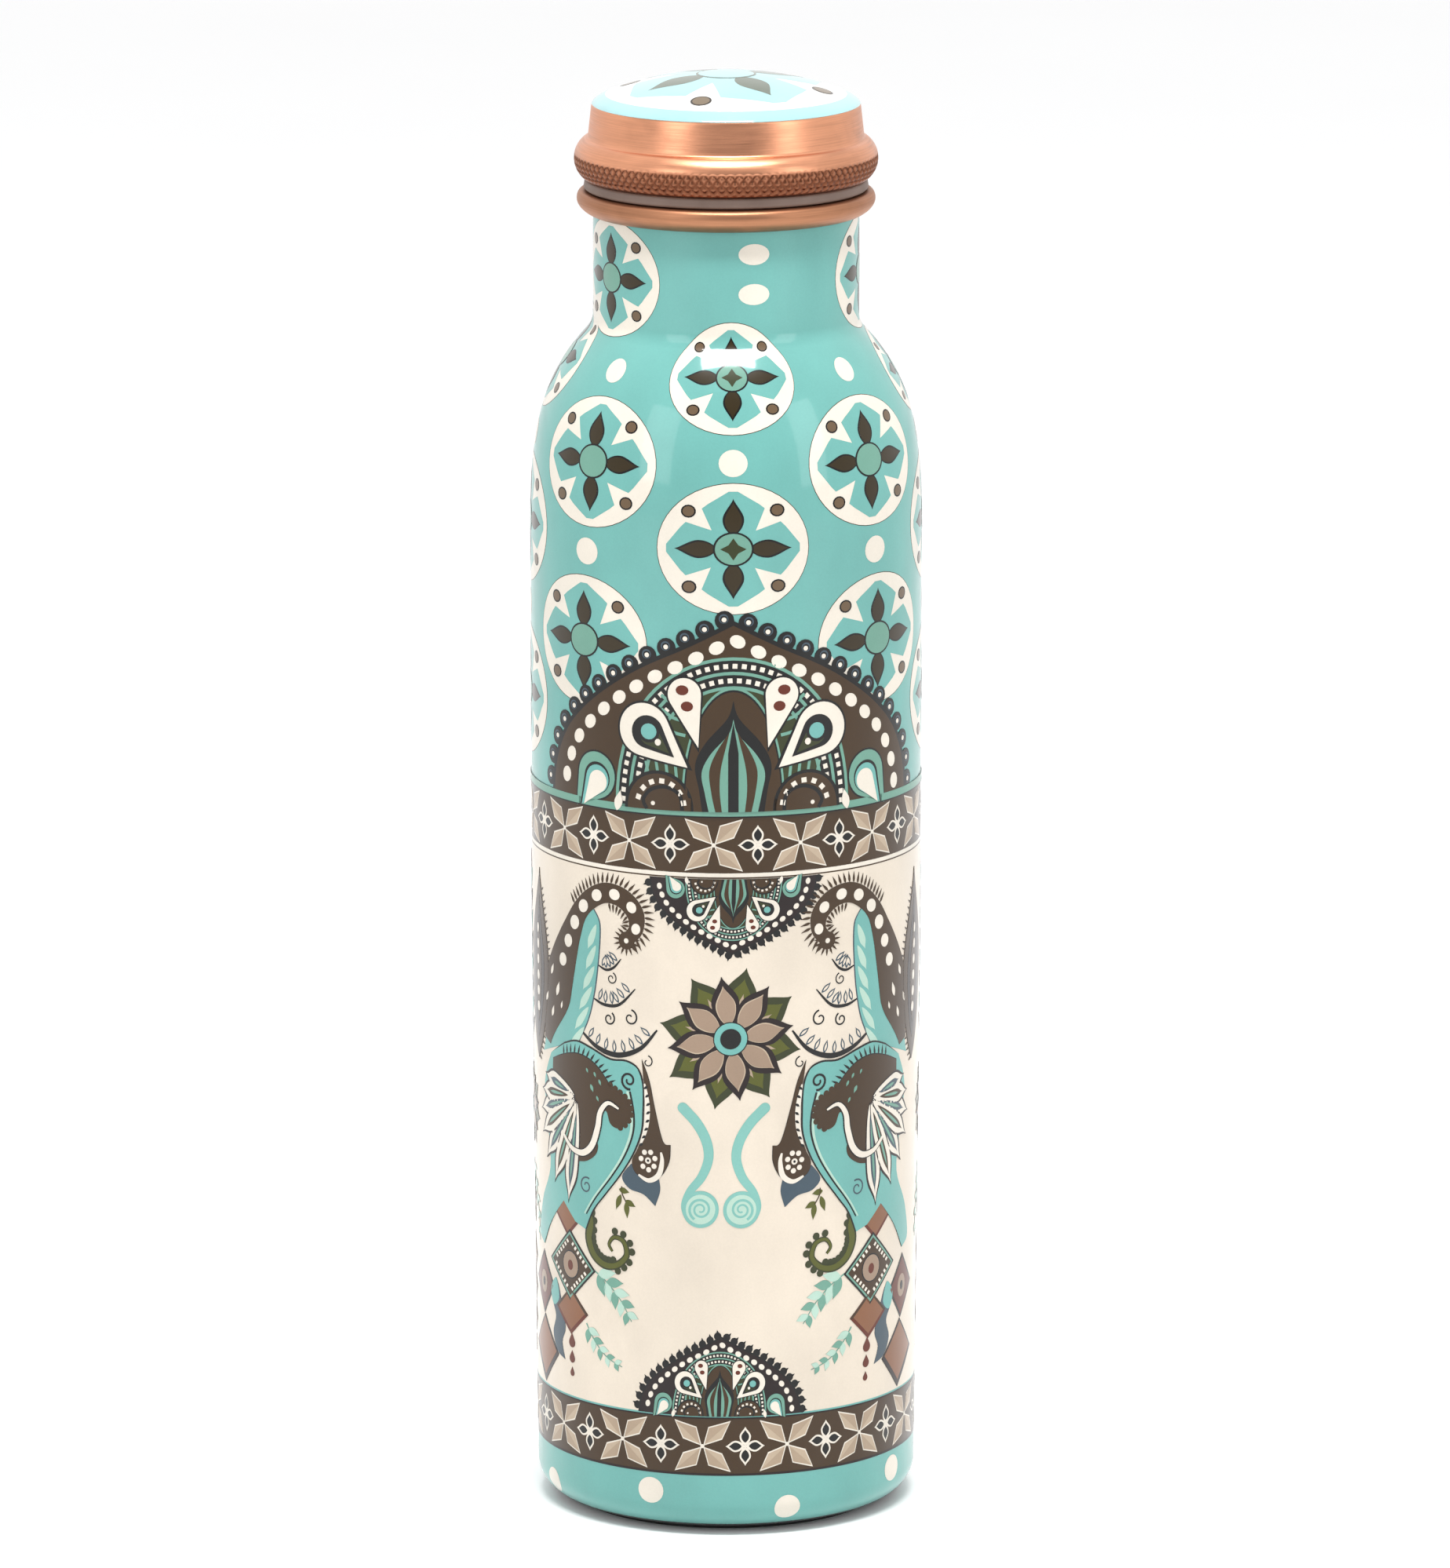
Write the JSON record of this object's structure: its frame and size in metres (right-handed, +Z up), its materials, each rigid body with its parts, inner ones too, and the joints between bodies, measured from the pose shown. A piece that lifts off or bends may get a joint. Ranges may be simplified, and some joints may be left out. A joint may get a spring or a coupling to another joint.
{
  "type": "copper water bottle",
  "caption": "Tall drawn copper water bottle with a narrow neck, a threaded spout and a knurled screw cap.",
  "frame": {"origin": "middle of the foot pad's underside, on the surface that the bottle stands on", "axes": "+Z up along the bottle's axis, towards the cap; +X to the right and -Y to the front of the print"},
  "size_m": [0.0728, 0.0728, 0.2702],
  "materials": {
    "printed_lacquer": "glossy clear lacquer over a printed pattern on copper",
    "brushed_copper": "satin brushed copper",
    "bare_copper": "bare turned copper",
    "black_rubber": "matt black rubber",
    "brown_silicone": "matt grey-brown silicone",
    "clear_silicone": "translucent natural silicone"
  },
  "bodies": {
    "bottle": {"body_shell": "printed_lacquer", "base_pad": "black_rubber", "neck_ring": "bare_copper", "neck_gasket": "brown_silicone"},
    "seal": {"cap_seal": "clear_silicone"},
    "cap": {"cap_shell": "brushed_copper", "cap_liner": "bare_copper"}
  },
  "joints": [
    {"name": "cap_lift", "type": "slide", "parent": "bottle", "child": "seal", "axis": [0, 0, 1], "range_m": [0, 0.011]},
    {"name": "cap_turn", "type": "hinge", "parent": "seal", "child": "cap", "pos_m": [0, 0, 0.251], "axis": [0, 0, 1], "range_deg": [0, 990]}
  ],
  "couplings": [
    {"joint": "cap_lift", "follows": "cap_turn", "m_per_rad": 0.00063662}
  ]
}
